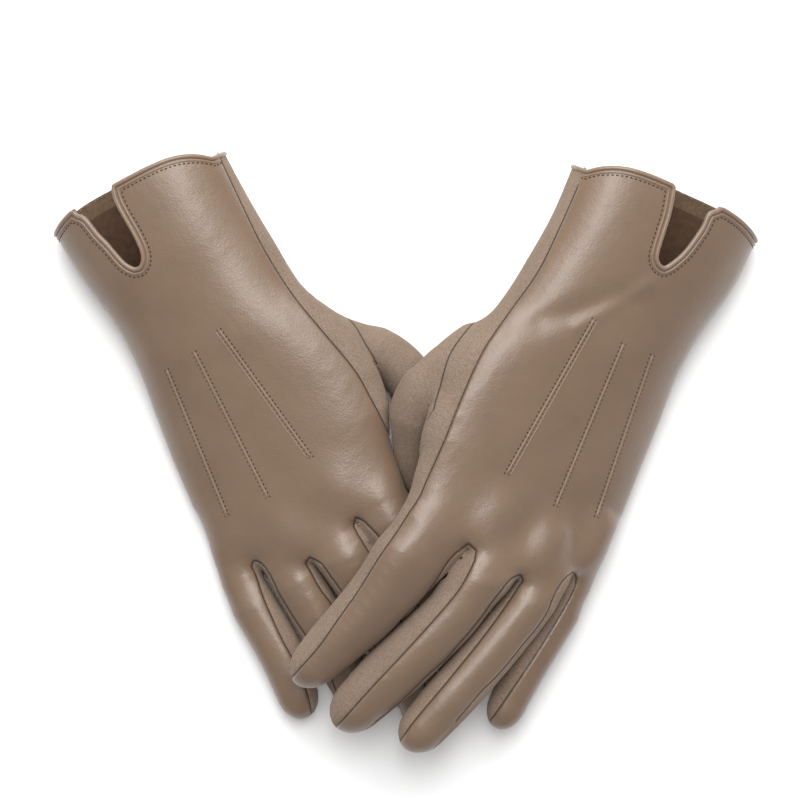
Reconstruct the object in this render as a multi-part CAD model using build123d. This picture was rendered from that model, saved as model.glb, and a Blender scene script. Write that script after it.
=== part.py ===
from build123d import *
import os
from math import atan2, cos, degrees, radians, sin, sqrt

# A pair of touchscreen gloves laid crossed on a table, in millimetres.
# +X runs across the pair, +Y from the fingertips to the cuffs, +Z up from the table.
# The right glove lies underneath and the left glove's fingers lie over it.

LEATHER_THICKNESS = 1.2
SEAM_GAP_DEG = 1.0
LINING_OUTSIDE = -1.5
LINING_INSIDE = -2.5
TRIM_LOW = 0.12
TRIM_HIGH = 0.85
BINDING_WIDTH = 3.4
HEM_WIDTH = 5.6
LINING_START = 6.0
HAND_LENGTH = 138.0
HAND_BACK_EDGES_DEG = (-65.0, 82.0)
FINGER_BACK_EDGE_DEG = 45.0
FINGER_SIDE_EDGE_DEG = 98.0
FINGER_SEAM_GAP_DEG = 2.0
STITCH_LENGTH = 1.5
STITCH_PITCH = 2.6
STITCH_RADIUS = 0.22
PINTUCK_RADIUS = 0.65
THUMB_CLEARANCE = 2.2
DOME_ANGLES_DEG = (30.0, 52.0, 68.0, 79.0)
PATH_STATIONS = 6
CENTRE_SHIFT = (0.277, 1.699, 0.0)

# Distances from the cuff at which the hand's outline is given.
HAND_STATIONS = (0.0, 18.75, 37.5, 56.25, 75.0, 93.75, 112.5, 127.0, HAND_LENGTH)
HAND_HALF_DEPTH = (20.0, 19.5, 18.5, 18.0, 16.5, 15.0, 13.5, 12.0, 11.2)

GLOVES = {
    "left": {
        "cuff": (96.4, 91.1),
        "length_way": (-0.385, -0.923),
        "side_way": (0.923, -0.385),
        "roll_deg": 26.0,
        "height": (26.4, 26.5, 26.9, 27.4, 28.4, 29.0, 29.4, 29.6, 29.6),
        "half_width": (37.1, 36.4, 35.3, 36.0, 41.0, 41.0, 39.6, 38.8, 38.4),
        "offset": (0.0, -0.8, -4.1, -6.8, -11.0, -10.7, -8.8, -8.4, -8.3),
        "notch": ((-6.0, 0.9), (21.0, 6.2), (22.2, 7.6), (21.0, 9.4), (-6.0, 22.6)),
        "pintucks": (((49.5, -8.6), (115.0, -16.4)), ((53.5, 5.3), (119.0, 5.4)), ((53.0, 17.2), (117.0, 21.5))),
        "digits": {
            "index": (((12.0, -28.6, 43.0), (-1.9, -44.2, 41.5), (-11.6, -56.2, 39.5), (-21.4, -66.8, 37.0), (-31.9, -77.3, 34.5), (-41.2, -86.6, 32.5)), 11.2, 9.6),
            "middle": (((34.0, -42.6, 37.5), (24.4, -52.6, 37.0), (15.4, -63.2, 36.0), (5.6, -75.2, 34.6), (-8.2, -89.4, 33.0), (-25.9, -102.7, 31.5)), 10.4, 9.4),
            "ring": (((54.5, -48.1, 28.4), (47.5, -58.5, 29.6), (39.1, -70.1, 30.2), (28.5, -84.1, 30.4), (15.5, -98.5, 30.4), (0.1, -111.9, 30.0)), 9.3, 8.9),
            "little": (((70.5, -50.3, 16.2), (66.3, -58.9, 16.6), (59.5, -69.9, 17.4), (51.3, -82.9, 18.0), (43.5, -94.5, 18.2), (34.9, -105.5, 18.2)), 8.4, 8.1),
            "thumb": (((22.0, 38.0, 40.0), (12.5, 30.0, 38.5), (5.2, 17.5, 34.5), (7.6, 3.5, 26.5), (14.0, -9.5, 18.5), (19.0, -19.0, 14.0)), 10.0, 9.4),
        },
    },
    "right": {
        "cuff": (-99.8, 94.9),
        "length_way": (0.456, -0.89),
        "side_way": (-0.89, -0.456),
        "roll_deg": 15.0,
        "height": (22.4, 21.5, 20.4, 19.75, 19.11, 18.2, 17.6, 17.0, 16.4),
        "half_width": (35.3, 34.7, 33.8, 34.7, 40.6, 42.2, 41.8, 40.6, 40.4),
        "offset": (0.0, -0.9, -3.0, -3.9, -7.3, -6.8, -5.0, -1.8, -1.0),
        "notch": ((-6.0, 7.4), (22.8, 11.6), (24.2, 13.2), (22.8, 15.0), (-6.0, 26.6)),
        "pintucks": (((58.0, -3.6), (116.0, -12.4)), ((61.0, 8.6), (122.0, 9.1)), ((62.0, 21.0), (121.0, 26.2))),
        "digits": {
            "index": (((-8.2, -20.2, 24.2), (0.2, -34.0, 21.0), (9.4, -48.8, 17.0), (18.0, -64.5, 13.6), (24.4, -78.8, 11.4), (28.1, -93.8, 10.8)), 10.4, 9.4),
            "middle": (((-26.2, -35.4, 20.6), (-18.0, -50.4, 17.4), (-9.4, -66.4, 14.0), (-2.0, -82.0, 11.8), (4.4, -95.6, 10.8), (8.4, -105.6, 10.6)), 10.1, 9.3),
            "ring": (((-46.7, -43.8, 15.2), (-40.1, -55.0, 13.6), (-33.7, -66.4, 12.2), (-26.3, -78.8, 11.2), (-19.7, -90.4, 10.4), (-14.3, -100.0, 10.0)), 9.4, 8.9),
            "little": (((-65.2, -47.1, 9.3), (-60.8, -56.1, 9.2), (-54.6, -68.1, 9.0), (-48.8, -79.1, 8.9), (-42.8, -90.5, 8.9), (-38.6, -101.7, 8.9)), 8.6, 8.3),
            "thumb": (((-33.0, 45.5, 19.5), (-24.0, 41.5, 17.5), (-15.5, 37.0, 15.0), (-7.8, 31.0, 12.6), (-2.2, 23.0, 11.0), (0.8, 12.0, 10.0)), 9.2, 8.8),
        },
    },
}


def plan_point(glove, along, across, height=0.0):
    cuff_x, cuff_y = glove["cuff"]
    way_x, way_y = glove["length_way"]
    side_x, side_y = glove["side_way"]
    return Vector(cuff_x + way_x * along + side_x * across, cuff_y + way_y * along + side_y * across, height)


def hand_axes(glove):
    """Unit vectors across the hand to its little-finger side, and out of its back."""
    roll = radians(glove["roll_deg"])
    side_x, side_y = glove["side_way"]
    lateral = Vector(side_x * cos(roll), side_y * cos(roll), -sin(roll))
    outward = Vector(side_x * sin(roll), side_y * sin(roll), cos(roll))
    return lateral, outward


def between(values, along):
    for index in range(len(HAND_STATIONS) - 1):
        low, high = HAND_STATIONS[index], HAND_STATIONS[index + 1]
        if along <= high or index == len(HAND_STATIONS) - 2:
            share = (along - low) / (high - low)
            return values[index] * (1 - share) + values[index + 1] * share


def hand_station(glove, along):
    """Centre, axes and half sizes of the hand's outline at one distance from the cuff."""
    roll = radians(glove["roll_deg"])
    lateral, outward = hand_axes(glove)
    half_depth = between(HAND_HALF_DEPTH, along)
    seen = between(glove["half_width"], along)
    half_width = sqrt(seen**2 - (half_depth * sin(roll)) ** 2) / cos(roll)
    centre = plan_point(glove, along, between(glove["offset"], along), between(glove["height"], along))
    return centre, lateral, outward, half_width, half_depth, 1.0


def hand_stations(glove, start, stop):
    inner = [along for along in HAND_STATIONS if start < along < stop]
    return [hand_station(glove, along) for along in [start, *inner, stop]]


def digit_axes(tangent, across, up):
    lateral = (across - tangent * across.dot(tangent)).normalized()
    outward = lateral.cross(tangent).normalized()
    if outward.dot(up) < 0:
        outward = outward * -1
    return lateral, outward


def digit_stations(glove, digit):
    """Sections from the digit's root to its tip, shrinking over a rounded end."""
    points, half_width, half_depth = glove["digits"][digit]
    line = Spline(*[Vector(*point) for point in points])
    across, up = hand_axes(glove)
    if digit == "thumb":
        across = Vector(across.X, across.Y, across.Z - 0.9)
    tip = half_width / line.length
    stations = []
    shares = [(1 - tip) * index / PATH_STATIONS for index in range(PATH_STATIONS + 1)]
    sizes = [1.0 - 0.09 * share**2 for share in shares]
    for angle in DOME_ANGLES_DEG:
        shares.append(1 - tip + tip * sin(radians(angle)))
        sizes.append(0.91 * cos(radians(angle)))
    for share, size in zip(shares, sizes):
        lateral, outward = digit_axes((line % share).normalized(), across, up)
        stations.append((line @ share, lateral, outward, half_width, half_depth, size))
    return stations


def station_point(station, angle_deg, offset):
    centre, lateral, outward, half_width, half_depth, size = station
    angle = radians(angle_deg)
    sideways = lateral * ((half_width + offset) * size * sin(angle))
    return centre + sideways + outward * ((half_depth + offset) * size * cos(angle))


def band_wire(station, start_deg, stop_deg, outer, inner):
    count = max(4, round(abs(stop_deg - start_deg) / 15))
    angles = [start_deg + (stop_deg - start_deg) * index / count for index in range(count + 1)]
    outside = [station_point(station, angle, outer) for angle in angles]
    inside = [station_point(station, angle, inner) for angle in reversed(angles)]
    edges = [Edge.make_spline(outside), Edge.make_line(outside[-1], inside[0])]
    edges += [Edge.make_spline(inside), Edge.make_line(inside[-1], outside[0])]
    return Wire(edges)


def band(stations, start_deg, stop_deg, outer=0.0, inner=-LEATHER_THICKNESS):
    """A curved sheet of one thickness that follows the stations between two angles."""
    wires = [band_wire(station, start_deg, stop_deg, outer, inner) for station in stations]
    return Solid.make_loft(wires, ruled=True)


def notch_prism(glove, grow):
    """The V-shaped opening of the cuff, as a tall solid over the glove's back."""
    points = glove["notch"]
    middle = sum(point[1] for point in points) / len(points)
    corners = []
    for along, across in points:
        side = grow if across > middle else -grow
        corners.append(plan_point(glove, along + (grow if along > 0 else 0.0), across + side, glove["height"][0] + 4.0))
    face = Face(Wire.make_polygon(corners, close=True))
    return Solid.extrude(face, Vector(0, 0, 60))


def rim_slab(glove, start, stop):
    corners = [plan_point(glove, start, -60, -10), plan_point(glove, stop, -60, -10), plan_point(glove, stop, 60, -10), plan_point(glove, start, 60, -10)]
    return Solid.extrude(Face(Wire.make_polygon(corners, close=True)), Vector(0, 0, 90))


def back_panel(glove):
    start_deg, stop_deg = HAND_BACK_EDGES_DEG
    panel = band(hand_stations(glove, 0.0, HAND_LENGTH), start_deg, stop_deg)
    return panel - notch_prism(glove, 0.0)


def palm_panel(glove, side):
    start_deg, stop_deg = HAND_BACK_EDGES_DEG
    panel = band(hand_stations(glove, 0.0, HAND_LENGTH), stop_deg + SEAM_GAP_DEG, start_deg + 360 - SEAM_GAP_DEG)
    if side == "right":
        panel = panel - Pos(0, 0, -50) * Box(400, 400, 100)
    return panel


def hand_lining(glove):
    lining = band(hand_stations(glove, LINING_START, HAND_LENGTH), -89, 269, LINING_OUTSIDE, LINING_INSIDE)
    return lining - notch_prism(glove, 1.0)


def cuff_binding(glove):
    sleeve = band(hand_stations(glove, 0.0, 27.5), -88, 268, TRIM_HIGH, TRIM_LOW)
    rim = (sleeve & rim_slab(glove, -1, BINDING_WIDTH)) - notch_prism(glove, BINDING_WIDTH)
    edge = (sleeve & notch_prism(glove, BINDING_WIDTH)) - notch_prism(glove, 0.0)
    return rim + edge


def palm_hem(glove):
    return band(hand_stations(glove, 0.3, HEM_WIDTH), 95, 265, LINING_OUTSIDE, LINING_INSIDE)


def angle_over(glove, along, across):
    """Angle on the hand's outline that lies above one place in plan."""
    centre, lateral, outward, half_width, half_depth, size = hand_station(glove, along)
    roll = radians(glove["roll_deg"])
    reach = sqrt((half_width * cos(roll)) ** 2 + (half_depth * sin(roll)) ** 2)
    lead = atan2(half_depth * sin(roll), half_width * cos(roll))
    from_centre = (across - between(glove["offset"], along)) / reach
    return degrees(atan2(from_centre, sqrt(1 - from_centre**2)) - lead)


def surface_line(glove, ends, height, count):
    (start_along, start_across), (stop_along, stop_across) = ends
    points = []
    for index in range(count + 1):
        share = index / count
        along = start_along + (stop_along - start_along) * share
        across = start_across + (stop_across - start_across) * share
        points.append(station_point(hand_station(glove, along), angle_over(glove, along, across), height))
    return points


def rod(points, radius):
    line = Edge.make_spline(points)
    start = Plane(origin=line @ 0, z_dir=line % 0)
    return Solid.sweep(Face(Wire.make_circle(radius, start)), Wire([line]))


def pintucks(glove):
    height = TRIM_LOW + PINTUCK_RADIUS + 0.1
    return Compound([rod(surface_line(glove, ends, height, 8), PINTUCK_RADIUS) for ends in glove["pintucks"]])


def stitch(start, way):
    return Solid.make_cylinder(STITCH_RADIUS, STITCH_LENGTH, Plane(origin=start, z_dir=way))


def pintuck_stitching(glove):
    stitches = []
    for (start_along, start_across), (stop_along, stop_across) in glove["pintucks"]:
        shift = 1.5
        ends = ((start_along, start_across + shift), (stop_along, stop_across + shift))
        count = int((stop_along - start_along) / STITCH_PITCH)
        points = surface_line(glove, ends, 0.5, count)
        for here, following in zip(points, points[1:]):
            stitches.append(stitch(here, following - here))
    return Compound(stitches)


def cuff_stitching(glove):
    station = hand_station(glove, BINDING_WIDTH + 1.4)
    stitches = []
    notch_start = angle_over(glove, BINDING_WIDTH, glove["notch"][0][1]) - 8
    notch_stop = angle_over(glove, BINDING_WIDTH, glove["notch"][-1][1]) + 8
    angle = -84.0
    while angle < 84.0:
        here = station_point(station, angle, 0.5)
        following = station_point(station, angle + 1, 0.5)
        if angle < notch_start or angle > notch_stop:
            stitches.append(stitch(here, following - here))
        angle += degrees(STITCH_PITCH / (following - here).length / 57.2958)
    return Compound(stitches)


def digit_lining(stations):
    return band(stations, -178, 178, LINING_OUTSIDE, LINING_INSIDE)


def digit_fourchettes(stations):
    low = FINGER_BACK_EDGE_DEG + FINGER_SEAM_GAP_DEG
    return Compound([band(stations, low, FINGER_SIDE_EDGE_DEG), band(stations, -FINGER_SIDE_EDGE_DEG, -low)])


def digit_front(stations):
    low = FINGER_SIDE_EDGE_DEG + FINGER_SEAM_GAP_DEG
    return band(stations, low, 360 - low)


def hand_envelope(glove):
    """Solid that fills the hand, a little outside its panels."""
    wires = []
    for station in hand_stations(glove, 0.0, HAND_LENGTH):
        points = [station_point(station, 15 * index, THUMB_CLEARANCE) for index in range(24)]
        wires.append(Wire([Edge.make_spline(points, periodic=True)]))
    return Solid.make_loft(wires, ruled=True)


def thumb_wall(glove, stations, outer, inner):
    """The thumb's sheet, cut to the curve of the hand that it is sewn to."""
    wall = band(stations, -178, 178, outer, inner) - hand_envelope(glove)
    return wall.solids().sort_by(SortBy.VOLUME)[-1]


def touch_pad(stations):
    return band(stations[PATH_STATIONS - 1 : PATH_STATIONS + 3], 145, 215, TRIM_HIGH, TRIM_LOW)


def glove_solids(side):
    glove = GLOVES[side]
    solids = {
        "back_panel": back_panel(glove),
        "palm_panel": palm_panel(glove, side),
        "hand_lining": hand_lining(glove),
        "cuff_binding": cuff_binding(glove),
        "palm_hem": palm_hem(glove),
        "pintucks": pintucks(glove),
        "pintuck_stitching": pintuck_stitching(glove),
        "cuff_stitching": cuff_stitching(glove),
    }
    for digit in glove["digits"]:
        stations = digit_stations(glove, digit)
        if digit == "thumb":
            solids["thumb_shell"] = thumb_wall(glove, stations, 0.0, -LEATHER_THICKNESS)
            solids["thumb_lining"] = thumb_wall(glove, stations, LINING_OUTSIDE, LINING_INSIDE)
        else:
            solids[f"{digit}_lining"] = digit_lining(stations)
            solids[f"{digit}_back"] = band(stations, -FINGER_BACK_EDGE_DEG, FINGER_BACK_EDGE_DEG)
            solids[f"{digit}_fourchettes"] = digit_fourchettes(stations)
            solids[f"{digit}_front"] = digit_front(stations)
        if digit in ("thumb", "index"):
            solids[f"{digit}_touch_pad"] = touch_pad(stations)
    return {f"{side}_{name}": solid for name, solid in solids.items()}


os.makedirs("parts", exist_ok=True)
for side in GLOVES:
    for node, solid in glove_solids(side).items():
        export_step(Pos(*CENTRE_SHIFT) * solid, f"parts/{node}.step")
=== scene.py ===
import math

import bpy
import numpy as np
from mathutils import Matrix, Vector
from mathutils.bvhtree import BVHTree


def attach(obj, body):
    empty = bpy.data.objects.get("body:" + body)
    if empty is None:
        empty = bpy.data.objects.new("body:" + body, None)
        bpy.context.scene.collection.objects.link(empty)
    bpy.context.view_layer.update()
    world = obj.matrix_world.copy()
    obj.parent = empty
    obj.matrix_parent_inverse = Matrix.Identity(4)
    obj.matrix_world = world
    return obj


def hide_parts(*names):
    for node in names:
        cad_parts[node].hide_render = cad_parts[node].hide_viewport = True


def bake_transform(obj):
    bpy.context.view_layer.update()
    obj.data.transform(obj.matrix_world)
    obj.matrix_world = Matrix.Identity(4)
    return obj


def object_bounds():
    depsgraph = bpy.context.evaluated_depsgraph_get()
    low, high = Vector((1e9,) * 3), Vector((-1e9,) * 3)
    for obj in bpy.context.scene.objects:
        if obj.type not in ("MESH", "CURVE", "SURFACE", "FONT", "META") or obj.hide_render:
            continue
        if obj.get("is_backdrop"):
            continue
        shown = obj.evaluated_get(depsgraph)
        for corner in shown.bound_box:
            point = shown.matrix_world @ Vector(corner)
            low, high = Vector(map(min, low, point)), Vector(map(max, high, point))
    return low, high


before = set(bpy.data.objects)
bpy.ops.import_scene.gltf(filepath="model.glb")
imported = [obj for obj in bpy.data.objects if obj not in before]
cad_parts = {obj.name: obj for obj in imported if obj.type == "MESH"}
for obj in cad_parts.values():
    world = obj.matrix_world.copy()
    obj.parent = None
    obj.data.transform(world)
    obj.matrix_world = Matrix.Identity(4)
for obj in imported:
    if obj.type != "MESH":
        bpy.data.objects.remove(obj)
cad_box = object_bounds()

# A pair of touchscreen gloves laid crossed on a table. Shapes are worked out in millimetres,
# in the frame of the CAD parts before they are centred, and written in metres.
MM = 0.001
CENTRE_SHIFT = np.array([0.277, 1.699, 0.0])

# The skin: how finely it is remeshed, how much it is smoothed, and how thick it is.
VOXEL = 0.9
SMOOTH_STEPS = 14
KNUCKLE_SMOOTH_STEPS = 160
SKIN_THICKNESS = 1.1

# Roundness of the hand and digits.
FULLNESS = 2.3
DIGIT_DEPTH = 0.92
DIGIT_GAP = 0.9
WIDEST_ROUND = 11.6
HAND_ROUND = 10.0
WEB_ROUND = 7.0
WEB_REACH = 1.2
HAND_END = 146.0
DIGIT_LINE_POINTS = 60

# Where the leather of the back and the sides of the fingers end, as angles round from the middle
# of the back, and the radius that turns the hand's angles into distances.
HAND_ULNAR_EDGE_DEG = 82.0
HAND_UNDER_EDGE_DEG = 104.0
LITTLE_ULNAR_EDGE_DEG = 84.0
FINGER_UNDER_EDGE_DEG = 106.0
FINGER_SIDE_EDGE_DEG = 112.0
HAND_ARC = 17.0

# Distances in from the cuff's edge.
OUTER_BEAD_AT = 0.55
INNER_BEAD_AT = 2.2
EDGE_STITCHES_AT = 3.4
HEM_START = 0.5
LINING_START = 3.0
HEM_STOP = 6.0
CUFF_LINING_STOP = 62.0

# Grooves at the seams, and the trim.
SEAM_GROOVE_DEPTH = 0.45
SEAM_GROOVE_WIDTH = 0.4
HEM_DROP = 1.2
CUFF_LINING_DROP = 1.9
THIN_CLOTH = 0.6
PAD_RISE = 0.35
PAD_THICKNESS = 0.5

# The view, straight down.
VIEW_WIDTH = 0.3
VIEW_CENTRE = (-0.0023, 0.02045)
VIEW_RAISE = 0.03
LENS = 200
SENSOR = 36

FINGERS = ("index", "middle", "ring", "little")
HAND_STATIONS = (-14.0, 0.0, 18.75, 37.5, 56.25, 75.0, 93.75, 112.5, 127.0, 140.0, 152.0)

# What each glove is drawn from. "hand_sign" is 1 for the left hand and -1 for the right. "cuff" is the middle of the cuff's mouth in plan, "length_way"
# and "side_way" point along and across the hand, and "roll_deg" turns the hand about its length.
# "height", "half_width", "half_depth" and "offset" are the hand's at each of HAND_STATIONS.
# "digits" gives (x, y, height, half width) from each root to its tip. "radial_seam" is where the
# leather back ends on the thumb's side, and "thumb_seam" is where the thumb is set in. Each slit
# between two fingers has the next finger's leather edge as its "seam" and this finger's as its
# "edge". "notch" is the outline cut out of the cuff. Each pintuck is given as its two ends, along
# and across from the cuff, and each fold as its line, its half width and its rise.
GLOVES = {
    "left": {
        "hand_sign": 1.0,
        "cuff": (96.4, 91.1),
        "length_way": (-0.385, -0.923),
        "side_way": (0.923, -0.385),
        "roll_deg": 26.0,
        "height": (26.4, 26.4, 26.5, 26.9, 27.4, 28.4, 29.0, 29.4, 29.6, 29.6, 29.6),
        "half_width": (37.1, 37.1, 36.4, 35.3, 36.0, 40.4, 41.0, 40.7, 40.0, 38.6, 37.0),
        "half_depth": (20.0, 20.0, 19.5, 18.5, 18.0, 16.8, 15.2, 13.6, 12.2, 11.0, 10.0),
        "offset": (0.0, 0.0, -0.8, -4.1, -6.8, -10.4, -10.7, -9.9, -9.6, -8.9, -8.3),
        "digits": {
            "index": (
                (9.0, -29.9, 43.0, 15.6), (0.6, -40.6, 42.6, 14.6), (-6.0, -49.7, 40.8, 13.4),
                (-12.5, -57.2, 39.3, 12.1), (-19.8, -64.9, 37.5, 11.2), (-29.7, -74.8, 35.0, 10.0),
                (-41.6, -87.0, 32.5, 7.6),
            ),
            "middle": (
                (31.0, -43.4, 37.5, 11.6), (23.6, -51.6, 37.0, 11.2), (17.3, -60.7, 36.4, 10.8),
                (9.0, -69.2, 35.6, 11.0), (0.3, -77.6, 34.5, 11.2), (-9.5, -86.8, 33.2, 11.0),
                (-26.4, -103.4, 31.2, 8.8),
            ),
            "ring": (
                (51.4, -49.4, 29.4, 9.7), (46.2, -57.0, 30.0, 9.6), (39.5, -65.6, 30.3, 9.7),
                (31.5, -75.3, 30.5, 9.8), (23.5, -84.6, 30.5, 9.8), (14.5, -94.6, 30.4, 9.8),
                (-0.6, -111.6, 30.0, 8.4),
            ),
            "little": (
                (67.4, -42.2, 15.6, 8.5), (63.6, -49.8, 15.4, 8.4), (57.4, -61.2, 15.4, 8.3),
                (50.5, -73.0, 15.8, 8.1), (43.8, -84.3, 16.0, 8.0), (33.8, -105.0, 16.0, 7.0),
            ),
            "thumb": (
                (22.0, 38.0, 38.5, 10.4), (12.5, 29.5, 38.0, 10.4), (4.2, 17.5, 33.5, 10.2),
                (2.8, 4.5, 25.6, 10.0), (3.7, -8.5, 16.6, 9.4), (8.8, -19.5, 13.4, 8.4),
            ),
        },
        "radial_seam": (
            (63.0, 97.5), (55.5, 80.6), (48.0, 65.6), (36.0, 48.8), (27.4, 35.6), (19.9, 18.8),
            (14.2, 4.5), (7.1, -11.2), (4.1, -18.0), (-2.6, -28.9), (-10.1, -39.8), (-17.6, -52.0),
            (-25.1, -62.6), (-32.6, -73.1), (-40.1, -81.8), (-45.0, -88.5),
        ),
        "thumb_seam": (
            (27.4, 50.2), (22.9, 45.8), (18.0, 39.4), (15.0, 33.8), (12.8, 26.2), (10.9, 18.8),
            (10.1, 13.1), (9.5, 4.0),
        ),
        "slits": (
            {
                "seam": (
                    (23.0, -34.6), (25.9, -38.6), (21.8, -48.0), (16.1, -56.2), (1.1, -73.1),
                    (-13.9, -89.2), (-25.1, -102.0), (-30.0, -108.0),
                ),
                "edge": (
                    (23.0, -34.6), (18.0, -37.7), (14.6, -41.5), (11.8, -46.0), (8.8, -50.4),
                    (4.5, -55.9), (-0.8, -60.8), (-7.5, -68.6), (-17.0, -76.4), (-25.5, -84.4),
                    (-36.0, -92.0),
                ),
            },
            {
                "seam": (
                    (42.2, -46.6), (43.1, -49.5), (31.1, -66.8), (16.1, -85.5), (3.0, -101.2),
                    (-1.5, -108.0), (-5.0, -114.0),
                ),
                "edge": (
                    (42.2, -46.6), (38.6, -48.0), (34.9, -51.8), (31.1, -56.6), (27.4, -61.9),
                    (22.9, -67.5), (18.0, -73.1), (14.2, -77.6), (8.6, -82.5), (3.4, -87.6),
                    (-3.0, -93.8), (-12.0, -101.0),
                ),
            },
            {
                "seam": (
                    (62.6, -45.8), (63.8, -48.8), (61.1, -56.2), (49.9, -75.0), (38.6, -91.9),
                    (31.9, -102.0), (28.0, -108.0),
                ),
                "edge": (
                    (62.6, -45.8), (59.6, -47.6), (57.0, -51.0), (54.0, -56.2), (51.8, -60.8),
                    (48.0, -66.4), (42.4, -73.1), (37.9, -78.8), (33.0, -84.4), (27.4, -90.0),
                    (18.0, -101.0),
                ),
            },
        ),
        "notch": (
            (99.4, 96.8), (97.9, 88.1), (95.6, 80.6), (93.4, 73.1), (93.4, 70.5), (95.2, 68.2),
            (97.9, 69.4), (102.4, 73.1), (106.1, 77.6), (109.9, 83.2), (112.5, 88.5), (118.1, 92.6),
            (124.0, 115.0), (102.0, 115.0),
        ),
        "pintucks": (
            ((49.5, -8.6), (115.0, -16.4)), ((53.5, 5.3), (119.0, 5.4)),
            ((53.0, 17.2), (117.0, 21.5)),
        ),
        "folds": (
            (((49.9, 48.0), (63.0, 51.8), (72.4, 55.1), (80.6, 57.0)), 4.5, -0.9),
            (((64.0, 46.5), (76.9, 54.0), (90.0, 62.0)), 3.0, 0.7),
        ),
    },
    "right": {
        "hand_sign": -1.0,
        "cuff": (-99.8, 94.9),
        "length_way": (0.456, -0.89),
        "side_way": (-0.89, -0.456),
        "roll_deg": 15.0,
        "height": (22.4, 22.4, 21.5, 20.4, 19.75, 19.11, 18.2, 17.6, 17.0, 16.2, 15.8),
        "half_width": (35.3, 35.3, 34.7, 33.8, 34.7, 40.2, 42.2, 41.8, 40.6, 40.0, 39.0),
        "half_depth": (20.0, 20.0, 19.5, 18.5, 18.0, 16.8, 15.2, 13.6, 12.2, 11.0, 10.0),
        "offset": (0.0, 0.0, -0.9, -3.0, -3.9, -7.0, -6.8, -5.0, -1.8, -1.0, -1.0),
        "digits": {
            "index": (
                (-8.8, -20.6, 24.2, 12.0), (-2.6, -33.6, 20.4, 11.6), (6.6, -49.4, 16.6, 11.0),
                (14.6, -65.0, 13.4, 10.3), (20.0, -79.0, 11.0, 9.4), (23.2, -92.0, 10.4, 7.9),
            ),
            "middle": (
                (-26.2, -34.8, 20.8, 12.0), (-19.6, -45.0, 18.6, 11.4), (-9.6, -62.0, 15.0, 10.7),
                (-2.6, -78.0, 12.3, 10.3), (4.4, -92.6, 10.9, 9.6), (8.4, -105.6, 10.6, 8.4),
            ),
            "ring": (
                (-46.2, -42.0, 15.2, 9.8), (-41.6, -49.4, 14.2, 9.8), (-34.9, -61.0, 12.8, 9.8),
                (-28.4, -73.0, 11.6, 9.7), (-21.0, -87.0, 10.6, 9.3), (-14.3, -100.0, 10.2, 8.0),
            ),
            "little": (
                (-66.4, -43.0, 9.8, 8.8), (-62.2, -51.8, 9.5, 8.9), (-56.0, -62.6, 9.4, 9.0),
                (-50.2, -72.6, 9.3, 9.0), (-45.6, -82.0, 9.2, 8.8), (-38.4, -101.7, 9.1, 7.6),
            ),
            "thumb": (
                (-33.0, 45.5, 19.5, 9.8), (-23.0, 42.0, 17.5, 9.8), (-13.0, 38.0, 15.0, 9.8),
                (-4.0, 32.5, 12.6, 9.7), (2.5, 24.0, 11.0, 9.6), (4.0, 13.0, 10.0, 8.8),
            ),
        },
        "radial_seam": (
            (-69.4, 108.8), (-61.5, 91.9), (-53.2, 75.0), (-43.1, 58.9), (-32.6, 45.8),
            (-19.5, 30.0), (-13.1, 18.8), (-7.1, 7.5), (-3.4, -1.9), (1.9, -13.1), (8.6, -26.2),
            (20.0, -50.0), (34.0, -90.0), (36.0, -110.0),
        ),
        "thumb_seam": (
            (-34.0, 57.5), (-30.4, 55.5), (-25.1, 52.9), (-19.5, 46.9), (-16.5, 42.0),
            (-13.1, 35.6), (-10.1, 30.0), (-8.2, 24.4), (-6.4, 18.0), (-3.4, 3.8),
        ),
        "slits": (
            {
                "seam": (
                    (-19.2, -25.3), (-20.2, -27.4), (-18.4, -31.9), (-15.4, -37.5), (-13.5, -40.5),
                    (-8.2, -52.5), (4.0, -80.0), (12.0, -112.0),
                ),
                "edge": (
                    (-19.2, -25.3), (-15.4, -27.0), (-12.4, -30.0), (-9.8, -33.0), (-3.0, -44.0),
                    (6.0, -62.0), (14.0, -84.0), (18.0, -100.0),
                ),
            },
            {
                "seam": (
                    (-36.6, -40.5), (-38.2, -42.2), (-35.6, -48.0), (-32.6, -53.2), (-27.8, -60.0),
                    (-20.0, -74.0), (-12.0, -90.0), (-6.0, -106.0),
                ),
                "edge": (
                    (-36.6, -40.5), (-31.9, -42.4), (-28.9, -46.5), (-25.1, -51.8), (-22.0, -56.6),
                    (-14.0, -70.0), (-6.0, -86.0), (-2.0, -100.0),
                ),
            },
            {
                "seam": (
                    (-57.8, -42.0), (-58.9, -43.5), (-57.0, -48.8), (-54.4, -56.2), (-51.4, -63.0),
                    (-47.6, -71.2), (-43.9, -78.0), (-41.4, -82.5), (-37.5, -93.8), (-36.2, -104.0),
                ),
                "edge": (
                    (-57.8, -42.0), (-54.4, -43.5), (-51.4, -48.0), (-48.4, -53.2), (-43.9, -60.8),
                    (-40.1, -66.8), (-37.1, -71.2), (-30.0, -82.0), (-24.0, -98.0),
                ),
            },
        ),
        "notch": (
            (-110.2, 99.0), (-108.8, 93.0), (-105.8, 87.0), (-102.8, 81.8), (-100.1, 76.5),
            (-99.0, 73.1), (-99.0, 70.1), (-100.9, 67.9), (-104.6, 69.4), (-107.6, 72.4),
            (-111.4, 76.9), (-115.1, 80.6), (-118.1, 84.4), (-120.8, 87.4), (-124.9, 90.4),
            (-134.0, 112.0), (-112.0, 118.0),
        ),
        "pintucks": (
            ((58.0, -3.6), (116.0, -12.4)), ((61.0, 8.6), (122.0, 9.1)),
            ((62.0, 21.0), (121.0, 26.2)),
        ),
        "folds": (),
    },
}


def unit(vectors):
    vectors = np.asarray(vectors, float)
    return vectors / np.linalg.norm(vectors, axis=-1, keepdims=True)


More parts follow.
